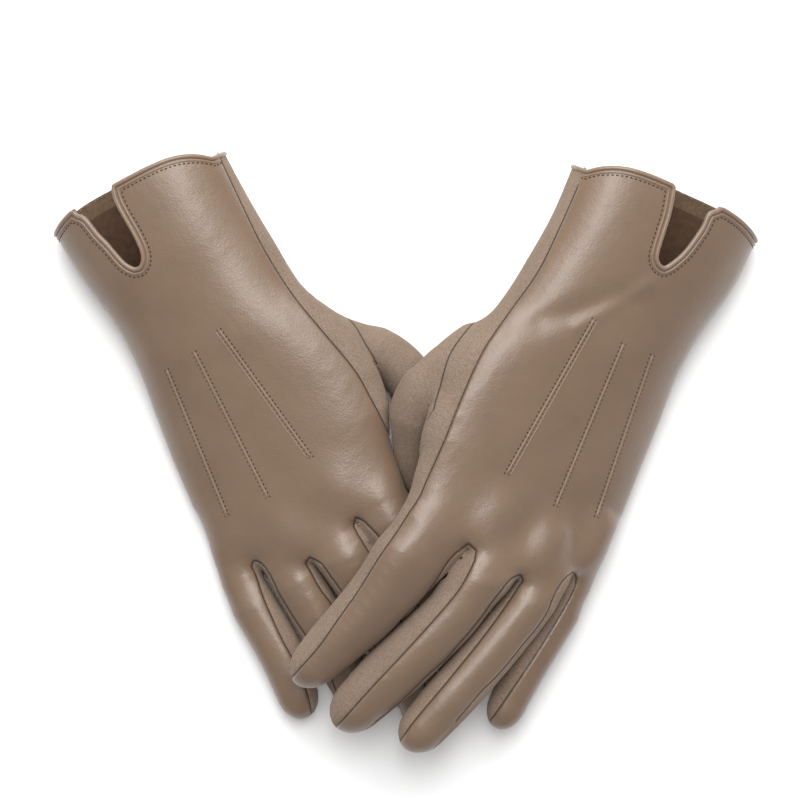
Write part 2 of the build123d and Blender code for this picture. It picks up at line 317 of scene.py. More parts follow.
def smooth_curve(points, count):
    """Points spread evenly along a smooth line through the given ones."""
    points = np.asarray(points, float)
    padded = np.vstack([2 * points[0] - points[1], points, 2 * points[-1] - points[-2]])
    fine = []
    for index in range(1, len(padded) - 2):
        before, here, following, after = padded[index - 1 : index + 3]
        for share in np.linspace(0, 1, 24, endpoint=False):
            bend = 2 * before - 5 * here + 4 * following - after
            twist = 3 * here - before - 3 * following + after
            fine.append(here + 0.5 * share * (following - before + share * (bend + share * twist)))
    fine = np.vstack([fine, padded[-2]])
    reach = np.concatenate([[0], np.cumsum(np.linalg.norm(np.diff(fine, axis=0), axis=1))])
    wanted = np.linspace(0, reach[-1], count)
    return np.stack([np.interp(wanted, reach, fine[:, axis]) for axis in range(fine.shape[1])], axis=1)


def smooth_values(along, values):
    """Values between the hand's stations, without corners."""
    knots = np.asarray(HAND_STATIONS)
    values = np.asarray(values, float)
    slopes = np.gradient(values, knots)
    along = np.clip(along, knots[0], knots[-1])
    index = np.clip(np.searchsorted(knots, along, side="right") - 1, 0, len(knots) - 2)
    width = knots[index + 1] - knots[index]
    share = (along - knots[index]) / width
    rise = share * share * (3 - 2 * share)
    start = share * (1 - share) ** 2 * width * slopes[index]
    stop = share * share * (share - 1) * width * slopes[index + 1]
    return values[index] * (1 - rise) + values[index + 1] * rise + start + stop


def smooth_pattern_lines(glove):
    """Rounds the corners of the pattern's lines."""
    for name in ("radial_seam", "thumb_seam"):
        glove[name] = smooth_curve(glove[name], 50)
    glove["notch"] = smooth_curve(glove["notch"], 70)
    for slit in glove["slits"]:
        slit["seam"] = smooth_curve(slit["seam"], 26)
        slit["edge"] = smooth_curve(slit["edge"], 26)


def hand_axes(glove):
    """The ways across and out of the back of a hand that is rolled about its length."""
    roll = math.radians(glove["roll_deg"])
    side = np.array([*glove["side_way"], 0.0])
    lateral = side * math.cos(roll) - np.array([0, 0, math.sin(roll)])
    outward = side * math.sin(roll) + np.array([0, 0, math.cos(roll)])
    return lateral, outward


def hand_sizes(glove, along):
    """Half width and half depth of the hand, from the half width that shows from above."""
    roll = math.radians(glove["roll_deg"])
    depth = smooth_values(along, glove["half_depth"])
    seen = smooth_values(along, glove["half_width"])
    width = np.sqrt(seen**2 - (depth * math.sin(roll)) ** 2) / math.cos(roll)
    return width, depth


def hand_centres(glove, along):
    """The middle of the hand at each place along it."""
    along = np.atleast_1d(along)
    cuff = np.array([*glove["cuff"], 0.0])
    way = np.array([*glove["length_way"], 0.0])
    side = np.array([*glove["side_way"], 0.0])
    centres = cuff + along[:, None] * way + smooth_values(along, glove["offset"])[:, None] * side
    centres[:, 2] = smooth_values(along, glove["height"])
    return centres


def outline(angles):
    """A rounded outline, a little fuller than an ellipse."""
    power = 2 / FULLNESS
    across = np.sign(np.sin(angles)) * np.abs(np.sin(angles)) ** power
    out = np.sign(np.cos(angles)) * np.abs(np.cos(angles)) ** power
    return across, out


def tube_faces(rings, around):
    """Quads of a closed tube of rings, and a fan at each end."""
    faces = []
    for ring in range(rings - 1):
        for index in range(around):
            following = (index + 1) % around
            low, high = ring * around, (ring + 1) * around
            faces.append((low + index, low + following, high + following, high + index))
    first, last = rings * around, rings * around + 1
    for index in range(around):
        following = (index + 1) % around
        faces.append((first, following, index))
        faces.append((last, (rings - 1) * around + index, (rings - 1) * around + following))
    return faces


def tube_points(centres, laterals, outwards, widths, depths, around):
    """Points of a tube's rings, then the middle of each end."""
    angles = np.linspace(0, 2 * math.pi, around, endpoint=False)
    across, out = outline(angles)
    points = []
    for centre, lateral, outward, width, depth in zip(centres, laterals, outwards, widths, depths):
        points.append(centre + np.outer(across * width, lateral) + np.outer(out * depth, outward))
    return np.vstack([*points, centres[:1], centres[-1:]])


def hand_tube(glove, shrink=0.0, start=HAND_STATIONS[0], stop=HAND_END):
    """The hand of the glove from its cuff to its rounded end at the roots of the fingers."""
    straight = np.linspace(start, stop - HAND_ROUND, 48)
    dome = stop - HAND_ROUND + HAND_ROUND * np.sin(np.radians([20, 40, 58, 72, 83]))
    along = np.concatenate([straight, dome])
    past = np.clip((along - stop + HAND_ROUND) / HAND_ROUND, 0, 1)
    widths, depths = hand_sizes(glove, along)
    round_off = np.sqrt(1 - past**2)
    widths = (widths - shrink) * (0.86 + 0.14 * round_off)
    depths = (depths - shrink) * np.maximum(round_off, 0.1)
    lateral, outward = hand_axes(glove)
    centres = hand_centres(glove, along)
    count = len(along)
    return tube_points(centres, [lateral] * count, [outward] * count, widths, depths, 96), count, 96


def digit_line(glove, digit):
    """Centreline of a digit with its axes and half widths."""
    line = smooth_curve(glove["digits"][digit], DIGIT_LINE_POINTS)
    line, widths = line[:, :3], line[:, 3]
    tangents = unit(np.gradient(line, axis=0))
    lateral, outward = hand_axes(glove)
    if digit == "thumb":
        lateral = lateral - np.array([0, 0, 0.9])
    laterals = unit(lateral - (tangents @ lateral)[:, None] * tangents)
    outwards = unit(np.cross(laterals, tangents))
    outwards[outwards @ outward < 0] *= -1
    return line, tangents, laterals, outwards, widths, np.minimum(widths, WIDEST_ROUND) * DIGIT_DEPTH


def digit_tube(glove, digit, shrink=0.0, root=18.0, start=0.0):
    """A digit with a rounded tip, its root tapered and sunk into the hand."""
    line, tangents, laterals, outwards, widths, _ = digit_line(glove, digit)
    length = np.linalg.norm(np.diff(line, axis=0), axis=1).sum()
    reach = np.linspace(0, length, len(line))
    tip = widths[-1] * 1.15
    straight = np.linspace(start, length - tip, 34)
    dome = length - tip + tip * np.sin(np.radians([12, 24, 36, 48, 59, 69, 78, 85]))
    along = np.concatenate([straight, dome])

    def along_digit(values):
        return np.stack([np.interp(along, reach, values[:, axis]) for axis in range(3)], 1)

    centres, side, out = along_digit(line), along_digit(laterals), along_digit(outwards)
    sizes = np.interp(along, reach, widths)
    if root > 0:
        back = np.arange(root, 0, -2.0)
        sunk = (back / root) ** 2
        sunken = line[0] - back[:, None] * tangents[0] - 5.0 * sunk[:, None] * outwards[0]
        centres = np.vstack([sunken, centres])
        side = np.vstack([np.repeat(laterals[:1], len(back), 0), side])
        out = np.vstack([np.repeat(outwards[:1], len(back), 0), out])
        along = np.concatenate([-back, along])
        sizes = np.concatenate([widths[0] * (1 - 0.45 * sunk), sizes])
    past = np.clip((along - length + tip) / tip, 0, 1)
    round_off = np.sqrt(1 - past**2)
    half_widths = (sizes - shrink) * round_off
    half_depths = (np.minimum(sizes, WIDEST_ROUND) * DIGIT_DEPTH - shrink) * round_off
    points = tube_points(centres, side, out, half_widths, half_depths, 40)
    return points, len(along), 40


def web_tube(glove, number):
    """The web of leather and suede between two neighbouring fingers, as a short blunt tube."""
    web = np.array(glove["slits"][number]["seam"][0])
    lines = [digit_line(glove, FINGERS[place]) for place in (number, number + 1)]
    starts = [line[0][0] for line in lines]
    way = unit(np.mean([unit(line[0][6] - line[0][0]) for line in lines], axis=0))
    share = np.clip((web - starts[0][:2]) @ way[:2] / 20.0, 0, 1)
    height = np.mean([line[0][int(share * 20), 2] for line in lines])
    stop = np.array([*web, height]) + way * WEB_REACH
    depth = np.mean([line[5][0] for line in lines]) - 1.2
    dome = WEB_ROUND * np.sin(np.radians([20, 40, 58, 72, 83])) - WEB_ROUND
    along = np.concatenate([np.linspace(-26, -WEB_ROUND, 10), dome])
    past = np.clip((along + WEB_ROUND) / WEB_ROUND, 0, 1)
    sizes = np.sqrt(1 - past**2)
    lateral, outward = hand_axes(glove)
    lateral = unit(lateral - (lateral @ way) * way)
    outward = unit(outward - (outward @ way) * way)
    sink = 3.0 * np.clip(-(along + 10) / 16, 0, 1) ** 2
    centres = stop + along[:, None] * way - sink[:, None] * outward
    count = len(along)
    points = tube_points(centres, [lateral] * count, [outward] * count, 8.5 * sizes, depth * sizes, 28)
    return points, count, 28


def new_object(name, points, faces):
    """An object in metres from points in millimetres, none of them under the table."""
    mesh = bpy.data.meshes.new(name)
    points = np.array(points, float)
    points[:, 2] = np.maximum(points[:, 2], 0.0)
    mesh.from_pydata((points + CENTRE_SHIFT) * MM, [], faces)
    mesh.update()
    thing = bpy.data.objects.new(name, mesh)
    bpy.context.scene.collection.objects.link(thing)
    return thing


def united(tubes):
    """One closed skin around all the tubes, as triangles, in millimetres."""
    points, faces, start = [], [], 0
    for tube, rings, around in tubes:
        points.append(tube)
        faces += [tuple(start + corner for corner in face) for face in tube_faces(rings, around)]
        start += len(tube)
    body = new_object("united_skin", np.vstack(points), faces)
    for thing in bpy.context.selected_objects:
        thing.select_set(False)
    body.select_set(True)
    bpy.context.view_layer.objects.active = body
    bpy.ops.object.mode_set(mode="EDIT")
    bpy.ops.mesh.select_all(action="SELECT")
    bpy.ops.mesh.normals_make_consistent(inside=False)
    bpy.ops.object.mode_set(mode="OBJECT")
    remesh = body.modifiers.new("remesh", "REMESH")
    remesh.mode = "VOXEL"
    remesh.voxel_size = VOXEL * MM
    bpy.ops.object.modifier_apply(modifier=remesh.name)
    triangulate = body.modifiers.new("triangulate", "TRIANGULATE")
    bpy.ops.object.modifier_apply(modifier=triangulate.name)
    mesh = body.data
    found = np.empty(len(mesh.vertices) * 3)
    mesh.vertices.foreach_get("co", found)
    corners = np.empty(len(mesh.loops), int)
    mesh.loops.foreach_get("vertex_index", corners)
    bpy.data.objects.remove(body)
    bpy.data.meshes.remove(mesh)
    return found.reshape(-1, 3) / MM - CENTRE_SHIFT, corners.reshape(-1, 3)


def edge_pairs(triangles):
    """Each pair of points that share an edge, once."""
    pairs = np.sort(triangles[:, [0, 1, 1, 2, 2, 0]].reshape(-1, 2), axis=1)
    return np.unique(pairs, axis=0)


def smoothed(points, triangles, steps, where=None):
    """Moves every point halfway to the mean of its neighbours, as many times as there are steps."""
    pairs = edge_pairs(triangles)
    count = np.bincount(pairs.ravel(), minlength=len(points))[:, None]
    points = points.copy()
    for _ in range(steps):
        total = np.zeros_like(points)
        for axis in range(3):
            total[:, axis] = np.bincount(pairs[:, 0], points[pairs[:, 1], axis], len(points))
            total[:, axis] += np.bincount(pairs[:, 1], points[pairs[:, 0], axis], len(points))
        move = 0.5 * (total / count - points)
        points += move if where is None else move * where[:, None]
    return points


def point_normals(points, triangles):
    """The way out at each point, from the triangles round it."""
    corners = points[triangles]
    face = np.cross(corners[:, 1] - corners[:, 0], corners[:, 2] - corners[:, 0])
    total = np.zeros_like(points)
    for corner in range(3):
        for axis in range(3):
            total[:, axis] += np.bincount(triangles[:, corner], face[:, axis], len(points))
    return total / np.maximum(np.linalg.norm(total, axis=1, keepdims=True), 1e-12)


def plan_distance(points, line):
    """Distance in plan from a line of points, positive on the left of its direction."""
    line = np.asarray(line, float)
    best = np.full(len(points), 1e9)
    signed = np.zeros(len(points))
    for start, stop in zip(line, line[1:]):
        way = stop - start
        share = np.clip(((points[:, :2] - start) @ way) / (way @ way), 0, 1)
        gap = points[:, :2] - start - share[:, None] * way
        distance = np.hypot(gap[:, 0], gap[:, 1])
        side = way[0] * (points[:, 1] - start[1]) - way[1] * (points[:, 0] - start[0])
        nearer = distance < best
        best[nearer] = distance[nearer]
        signed[nearer] = np.where(side[nearer] >= 0, 1, -1) * distance[nearer]
    return signed


def polygon_distance(points, corners):
    """Distance in plan from a closed outline, negative inside it."""
    corners = np.asarray(corners, float)
    best = np.full(len(points), 1e9)
    inside = np.zeros(len(points), bool)
    for start, stop in zip(corners, np.roll(corners, -1, axis=0)):
        way = stop - start
        share = np.clip(((points[:, :2] - start) @ way) / (way @ way), 0, 1)
        gap = points[:, :2] - start - share[:, None] * way
        best = np.minimum(best, np.hypot(gap[:, 0], gap[:, 1]))
        spans = (start[1] > points[:, 1]) != (stop[1] > points[:, 1])
        rise = np.where(stop[1] == start[1], 1e-9, stop[1] - start[1])
        crossing = start[0] + (points[:, 1] - start[1]) / rise * way[0]
        inside ^= spans & (points[:, 0] < crossing)
    return np.where(inside, -best, best)


def hand_coordinates(glove, points):
    """Each point's place along the hand, its share of the half width, and its angle from the back."""
    cuff = np.array(glove["cuff"])
    along = (points[:, :2] - cuff) @ np.array(glove["length_way"])
    across = (points[:, :2] - cuff) @ np.array(glove["side_way"])
    from_middle = across - smooth_values(along, glove["offset"])
    lift = points[:, 2] - smooth_values(along, glove["height"])
    roll = math.radians(glove["roll_deg"])
    lateral = from_middle * math.cos(roll) - lift * math.sin(roll)
    outward = from_middle * math.sin(roll) + lift * math.cos(roll)
    width, depth = hand_sizes(glove, along)
    seen = smooth_values(along, glove["half_width"])
    return along, from_middle / seen, np.degrees(np.arctan2(lateral / width, outward / depth))


def nearest_on(line, points):
    """Which of a line's points is nearest to each point, and how far away it is."""
    nearest = np.empty(len(points), int)
    distance = np.empty(len(points))
    for start in range(0, len(points), 20000):
        part = points[start : start + 20000]
        gaps = ((part[:, None, :] - line[None]) ** 2).sum(2)
        nearest[start : start + 20000] = gaps.argmin(1)
        distance[start : start + 20000] = np.sqrt(gaps.min(1))
    return nearest, distance


def bend_plane(glove, digit):
    """Where a digit starts to bend: a point just past the webs beside it, and the way it points."""
    line = digit_line(glove, digit)[0]
    way = unit(line[6] - line[0])
    if digit == "thumb":
        return line[0] + way * 22.0, way
    number = FINGERS.index(digit)
    webs = [glove["slits"][place]["seam"][0] for place in (number - 1, number) if 0 <= place < 3]
    flat_way = unit(way[:2])
    reach = max((np.array(web) - line[0][:2]) @ flat_way for web in webs) + 2.5
    return line[0] + way * reach, way


def finger_back_field(glove, digit, points, turned, width):
    """Distance inside the leather of a finger, less than nothing on its suede."""
    sign = glove["hand_sign"]
    number = FINGERS.index(digit)
    near = glove["radial_seam"] if digit == "index" else glove["slits"][number - 1]["seam"]
    radial = sign * plan_distance(points, near)
    if digit == "little":
        ulnar = np.radians(LITTLE_ULNAR_EDGE_DEG - turned) * width
    else:
        ulnar = -sign * plan_distance(points, glove["slits"][number]["edge"])
    under = np.radians(FINGER_UNDER_EDGE_DEG - np.abs(turned)) * width
    return np.minimum(np.minimum(radial, ulnar), under)


def pad_field(nearest, turned, width, length):
    """Distance inside the touch pad at the tip of the index finger or thumb."""
    along = nearest / (DIGIT_LINE_POINTS - 1) * length
    low = (along - (length - 10.5)) / 7.0
    wide = np.radians(180.0 - np.abs(turned)) * width / 6.2
    return (1.0 - np.hypot(low, wide)) * 6.0


def skin_fields(glove, points):
    """The distances that say which panel each point of the skin belongs to."""
    along, share, hand_angle = hand_coordinates(glove, points)
    sign = glove["hand_sign"]
    digits = list(glove["digits"])
    best = np.full(len(points), 1e9)
    owner = np.full(len(points), -1)
    bend = np.full(len(points), -50.0)
    side = np.full(len(points), 60.0)
    pad = np.full(len(points), -9.0)
    radial = sign * plan_distance(points, glove["radial_seam"])
    ulnar = np.radians(HAND_ULNAR_EDGE_DEG - hand_angle) * HAND_ARC
    under = np.radians(HAND_UNDER_EDGE_DEG - np.abs(hand_angle)) * HAND_ARC
    hand_back = np.minimum(np.minimum(radial, ulnar), under)
    for slit in glove["slits"]:
        wedge = (*slit["seam"], *slit["edge"][:0:-1])
        hand_back = np.minimum(hand_back, polygon_distance(points, wedge))
    back = hand_back.copy()
    for number, digit in enumerate(digits):
        line, _, laterals, outwards, widths, _ = digit_line(glove, digit)
        place, way = bend_plane(glove, digit)
        nearest, distance = nearest_on(line, points)
        width = widths[nearest]
        ahead = (points - place) @ way
        reach = distance / width
        mine = reach < best
        best[mine] = reach[mine]
        owner[mine] = number
        gap = points - line[nearest]
        sideways = (gap * laterals[nearest]).sum(1)
        outward = (gap * outwards[nearest]).sum(1) / DIGIT_DEPTH
        turned = np.degrees(np.arctan2(sideways, outward))
        close = mine & (reach < 1.7)
        bend[mine] = np.minimum(ahead, 1.9 * width - distance)[mine]
        back[mine] = hand_back[mine]
        side[mine] = 60.0
        pad[mine] = -9.0
        length = np.linalg.norm(np.diff(line, axis=0), axis=1).sum()
        if digit in ("index", "thumb"):
            pad[close] = pad_field(nearest, turned, width, length)[close]
        if digit == "thumb":
            thumb_gap = 1.28 * width - distance
            continue
        finger = close & (ahead > 0)
        back[finger] = finger_back_field(glove, digit, points, turned, width)[finger]
        side_edge = np.radians(FINGER_SIDE_EDGE_DEG - np.abs(turned)) * width
        side[close] = np.maximum(side_edge, -3.0 * ahead)[close]
    seam = -sign * plan_distance(points, glove["thumb_seam"])
    thumb = np.where(hand_angle > -118, np.minimum(seam, thumb_gap + 3), thumb_gap)
    thumb = np.where(owner == digits.index("thumb"), thumb, np.minimum(thumb, -0.3))
    back = np.where(thumb > 0, -20.0, back)
    rim_along = -8.0 * (1 - np.clip(np.abs((share - 0.12) / 0.98), 0, 1) ** 4)
    palmward = 0.5 - 0.5 * np.cos(np.radians(hand_angle))
    rim = along - rim_along + 1.3 * palmward
    notch = polygon_distance(points, glove["notch"])
    notch = np.where(np.abs(hand_angle) < 95, notch, 30.0)
    keep = np.minimum(rim, notch)
    fields = {"bend": bend, "back": back, "side": side, "thumb": thumb, "keep": keep, "pad": pad}
    fields.update({"owner": owner.astype(float), "angle": hand_angle, "along": along})
    return fields


def cut(skin, name, level=0.0, snap=0.06):
    """Adds a line of edges where a field of the skin crosses a level."""
    points, triangles, fields = skin["points"], skin["triangles"], skin["fields"]
    value = fields[name] - level
    sign = np.sign(np.where(np.abs(value) < snap, 0, value)).astype(int)
    corners = sign[triangles]
    crossed = (corners.min(1) < 0) & (corners.max(1) > 0)
    work = triangles[crossed]
    if not len(work):
        return
    pairs = edge_pairs(work)
    pairs = pairs[sign[pairs[:, 0]] * sign[pairs[:, 1]] < 0]
    low, high = pairs[:, 0], pairs[:, 1]
    share = value[low] / (value[low] - value[high])
    total = len(points)
    key = low.astype(np.int64) * total + high
    fresh = total + np.arange(len(pairs))
    skin["points"] = np.vstack([points, points[low] + share[:, None] * (points[high] - points[low])])
    old = skin["normals"]
    between = old[low] * (1 - share[:, None]) + old[high] * share[:, None]
    skin["normals"] = unit(np.vstack([old, between]))
    for field in fields:
        old = fields[field]
        mix = old[low] + share * (old[high] - old[low])
        if field == "owner":
            mix = np.where(share < 0.5, old[low], old[high])
        if field == name:
            mix = np.full(len(share), level)
        fields[field] = np.concatenate([old, mix])

    def middle(one, other):
        first, second = np.minimum(one, other), np.maximum(one, other)
        return fresh[np.searchsorted(key, first.astype(np.int64) * total + second)]

    signs = sign[work]
    has_zero = (signs == 0).any(1)
    made = []
    halves = work[has_zero]
    if len(halves):
        turn = (signs[has_zero] == 0).argmax(1)
        rows = np.arange(len(halves))
        tip, one, other = (halves[rows, (turn + step) % 3] for step in range(3))
        centre = middle(one, other)
        made += [np.stack([tip, one, centre], 1), np.stack([tip, centre, other], 1)]
    rest = work[~has_zero]
    if len(rest):
        rest_signs = signs[~has_zero]
        lone = np.where(rest_signs.sum(1)[:, None] > 0, rest_signs < 0, rest_signs > 0).argmax(1)
        rows = np.arange(len(rest))
        tip, one, other = (rest[rows, (lone + step) % 3] for step in range(3))
        first, second = middle(tip, one), middle(tip, other)
        made.append(np.stack([tip, first, second], 1))
        made.append(np.stack([first, one, other], 1))
        made.append(np.stack([first, other, second], 1))
    skin["triangles"] = np.vstack([triangles[~crossed], *made])


def push(skin, amount):
    """Moves the skin outwards by an amount at each point."""
    skin["points"] = skin["points"] + skin["normals"] * amount[:, None]


def glove_skin(glove):
    """The whole outside of one glove, closed everywhere, with its fields."""
    tubes = [hand_tube(glove)] + [web_tube(glove, number) for number in range(3)]
    tubes += [digit_tube(glove, digit, DIGIT_GAP) for digit in FINGERS]
    tubes.append(digit_tube(glove, "thumb", DIGIT_GAP, 9.0))
    points, triangles = united(tubes)
    points = smoothed(points, triangles, SMOOTH_STEPS)
    along = hand_coordinates(glove, points)[0]
    wedges = [(*one["seam"], *one["edge"][:0:-1]) for one in glove["slits"]]
    slit = np.min([polygon_distance(points, wedge) for wedge in wedges], axis=0)
    knuckles = np.clip((along - 112) / 8, 0, 1) * np.clip((156 - along) / 8, 0, 1)
    knuckles = knuckles * np.clip((slit - 0.5) / 3, 0, 1)
    root = np.linalg.norm(points - digit_line(glove, "thumb")[0][0], axis=1)
    ball = np.clip(2 - root / 12, 0, 1)
    points = smoothed(points, triangles, KNUCKLE_SMOOTH_STEPS, where=np.maximum(knuckles, ball))
    normals = point_normals(points, triangles)
    upper = np.clip(normals[:, 2] * 2, 0, 1)
    for fold, width, depth in glove["folds"]:
        distance = plan_distance(points, smooth_curve(fold, 24))
        points = points + normals * (depth * upper * np.exp(-((distance / width) ** 2)))[:, None]
    fields = skin_fields(glove, points)
    fuller = np.clip((fields["bend"] + 5) / 7, 0, 1)
    points = points + normals * (0.9 * DIGIT_GAP * fuller)[:, None]
    normals = point_normals(points, triangles)
    return {"points": points, "triangles": triangles, "normals": normals, "fields": fields}


def take(skin, wanted):
    """The part of a skin made of the wanted triangles."""
    triangles = skin["triangles"][wanted]
    used, corners = np.unique(triangles, return_inverse=True)
    part = {"points": skin["points"][used], "normals": skin["normals"][used]}
    part["fields"] = {name: values[used] for name, values in skin["fields"].items()}
    part["triangles"] = corners.reshape(-1, 3)
    return part


def rim_edges(triangles):
    """Directed edges that only one triangle has."""
    directed = triangles[:, [0, 1, 1, 2, 2, 0]].reshape(-1, 2)
    low, high = directed.min(1).astype(np.int64), directed.max(1).astype(np.int64)
    key = low * (triangles.max() + 1) + high
    found, first, count = np.unique(key, return_index=True, return_counts=True)
    return directed[first[count == 1]]


def seam_distance(fields):
    """How far each point is from the nearest seam or edge."""
    return np.min([np.abs(fields[name]) for name in ("back", "thumb", "side", "keep")], axis=0)


def moved(part, amount):
    """A copy of a part of the skin, moved outwards by an amount."""
    return {**part, "points": part["points"] + part["normals"] * amount}


def field_lines(skin, name, level):
    """The closed lines where a field of the skin has a level, as points and normals in order."""
    work = {**skin, "fields": dict(skin["fields"])}
    cut(work, name, level)
    middle = work["fields"][name][work["triangles"]].mean(1)
    work = take(work, middle > level)
    following = dict(rim_edges(work["triangles"]).tolist())
    lines = []
    while following:
        start = next(iter(following))
        line = [start]
        place = following.pop(start)
        while place in following:
            line.append(place)
            place = following.pop(place)
        found = {"points": work["points"][line], "normals": work["normals"][line]}
        found["fields"] = {key: values[line] for key, values in work["fields"].items()}
        lines.append(found)
    return lines


def spread(points, normals, pitch):
    """The same line with its points evenly spread at about a pitch."""
    reach = np.concatenate([[0], np.cumsum(np.linalg.norm(np.diff(points, axis=0), axis=1))])
    wanted = np.linspace(0, reach[-1], max(2, int(reach[-1] / pitch) + 1))
    even = np.stack([np.interp(wanted, reach, points[:, axis]) for axis in range(3)], 1)
    facing = np.stack([np.interp(wanted, reach, normals[:, axis]) for axis in range(3)], 1)
    return even, unit(facing)


def runs(mask):
    """Start and stop of each unbroken run of true values, round a closed line."""
    if mask.all():
        return [np.arange(len(mask) + 1) % len(mask)]
    first = int(np.argmin(mask))
    order = (np.arange(len(mask)) + first) % len(mask)
    found, current = [], []
    for place in order:
        if mask[place]:
            current.append(place)
        elif current:
            found.append(np.array(current))
            current = []
    if current:
        found.append(np.array(current))
    return found


def bead(points, normals, radius, sides=8, taper=True):
    """A round bead along a line on the skin: its points and faces."""
    tangents = unit(np.gradient(points, axis=0))
    across = unit(np.cross(tangents, normals))
    angles = np.linspace(0, 2 * math.pi, sides, endpoint=False)
    size = np.full(len(points), radius)
    if taper:
        size[0] = size[-1] = 0.35 * radius
    rings = []
    for angle in angles:
        rings.append(points + (math.cos(angle) * normals + math.sin(angle) * across) * size[:, None])
    rings = np.stack(rings, 1).reshape(-1, 3)
    faces = [tuple(face[::-1]) for face in tube_faces(len(points), sides)]
    return np.vstack([rings, points[:1], points[-1:]]), faces


def gathered(name, parts, finish):
    """One object of many closed tubes."""
    points, faces, start = [], [], 0
    for tube, corners in parts:
        points.append(tube)
        faces += [tuple(start + corner for corner in face) for face in corners]
        start += len(tube)
    thing = new_object(name, np.vstack(points), faces)
    thing.data.materials.append(finish)
    thing.data.polygons.foreach_set("use_smooth", [True] * len(thing.data.polygons))
    seam = thing.data.attributes.new("seam", "FLOAT", "POINT")
    seam.data.foreach_set("value", [9.0] * len(thing.data.vertices))
    return thing


def stitches(points, normals, pitch, length=1.15, radius=0.24):
    """Short threads lying along a line on the skin."""
    points, normals = spread(points, normals, pitch)
    tangents = unit(np.gradient(points, axis=0))
    made = []
    for point, normal, tangent in zip(points, normals, tangents):
        way = np.array([-0.5, -0.3, 0.3, 0.5])[:, None] * length * tangent
        sink = np.array([-0.7, 0.0, 0.0, -0.7])[:, None] * radius * normal
        made.append(bead(point + way + sink, np.repeat(normal[None], 4, 0), radius, sides=5))
    return made


def dropped(tree, glove, start, stop, count=60):
    """A line on the back of the hand, between two places given along and across it."""
    cuff, way, side = (np.array(glove[name]) for name in ("cuff", "length_way", "side_way"))
    points, normals = [], []
    for share in np.linspace(0, 1, count):
        along, across = np.array(start) * (1 - share) + np.array(stop) * share
        place = cuff + along * way + across * side
        spot, normal, _, _ = tree.ray_cast(Vector((*place, 120.0)), Vector((0, 0, -1)))
        points.append(spot)
        normals.append(normal)
    points = np.array(points)
    points[1:-1] = (points[:-2] + points[1:-1] + points[2:]) / 3
    normals = np.array(normals)
    for _ in range(6):
        normals[1:-1] = (normals[:-2] + normals[1:-1] + normals[2:]) / 3
    return points, unit(normals)


def panel(name, part, finish, thickness=SKIN_THICKNESS):
    """A panel with thickness, smooth outside as the whole glove is smooth."""
    points, normals, triangles = part["points"], part["normals"], part["triangles"]
    count = len(points)
    edges = rim_edges(triangles)
    walls = np.stack([edges[:, 1], edges[:, 0], edges[:, 0] + count, edges[:, 1] + count], 1)
    inner = triangles[:, ::-1] + count
    faces = [tuple(face) for face in triangles.tolist()] + [tuple(face) for face in inner.tolist()]
    faces += [tuple(face) for face in walls.tolist()]
    thing = new_object(name, np.vstack([points, points - normals * thickness]), faces)
    mesh = thing.data
    mesh.materials.append(finish)
    mesh.polygons.foreach_set("use_smooth", [True] * len(mesh.polygons))
    loop_vertices = np.empty(len(mesh.loops), int)
    mesh.loops.foreach_get("vertex_index", loop_vertices)
    both = np.vstack([normals, -normals])
    loop_normals = both[loop_vertices]
    wall_start = 3 * (len(triangles) * 2)
    flat = np.empty(len(mesh.polygons) * 3)
    mesh.polygons.foreach_get("normal", flat)
    flat = flat.reshape(-1, 3)[2 * len(triangles) :]
    loop_normals[wall_start:] = np.repeat(flat, 4, axis=0)
    mesh.normals_split_custom_set(loop_normals.tolist())
    seam = mesh.attributes.new("seam", "FLOAT", "POINT")
    distance = seam_distance(part["fields"])
    seam.data.foreach_set("value", np.concatenate([distance, distance]).astype(np.float32))
    return thing


def new_material(name):
    """A material, its nodes and its shader."""
    made = bpy.data.materials.new(name)
    made.use_nodes = True
    tree = made.node_tree
    return made, tree, tree.nodes["Principled BSDF"]


def node(tree, kind, inputs=None, **settings):
    """A new node with its settings and the values of its sockets."""
    made = tree.nodes.new(kind)
    for key, value in settings.items():
        setattr(made, key, value)
    for key, value in (inputs or {}).items():
        made.inputs[key].default_value = value
    return made


def ramp(tree, source, stops):
    """Turns a value into a colour that goes through the stops."""
    made = tree.nodes.new("ShaderNodeValToRGB")
    elements = made.color_ramp.elements
    while len(elements) < len(stops):
        elements.new(0.5)
    for element, (place, colour) in zip(elements, stops):
        element.position = place
        element.color = (*colour, 1)
    tree.links.new(source, made.inputs["Fac"])
    return made.outputs["Color"]


def noise(tree, scale, detail=3.0, rough=0.55):
    place = tree.nodes.new("ShaderNodeTexCoord")
    made = node(tree, "ShaderNodeTexNoise", {"Scale": scale, "Detail": detail, "Roughness": rough})
    tree.links.new(place.outputs["Object"], made.inputs["Vector"])
    return made.outputs["Fac"]


def mixed(tree, factor, one, other, how="MIX"):
    """Two colours mixed, each a plain value or another node's output."""
    made = node(tree, "ShaderNodeMix", data_type="RGBA", blend_type=how)
    for key, value in ((0, factor), (6, one), (7, other)):
        if hasattr(value, "is_linked"):
            tree.links.new(value, made.inputs[key])
        elif key == 0:
            made.inputs[key].default_value = value
        else:
            made.inputs[key].default_value = (*value, 1)
    return made.outputs[2]


def seam_shade(tree, reach):
    """The mix factor for the painted shade in the seam grooves: 0 on a seam line and 1 beyond a short
    reach from it, from the distance stored on the panel.
    """
    line = node(tree, "ShaderNodeAttribute", attribute_name="seam")
    limits = {"From Min": 0.08, "From Max": reach}
    shade = node(tree, "ShaderNodeMapRange", limits, interpolation_type="SMOOTHSTEP")
    tree.links.new(line.outputs["Fac"], shade.inputs["Value"])
    return shade.outputs["Result"]


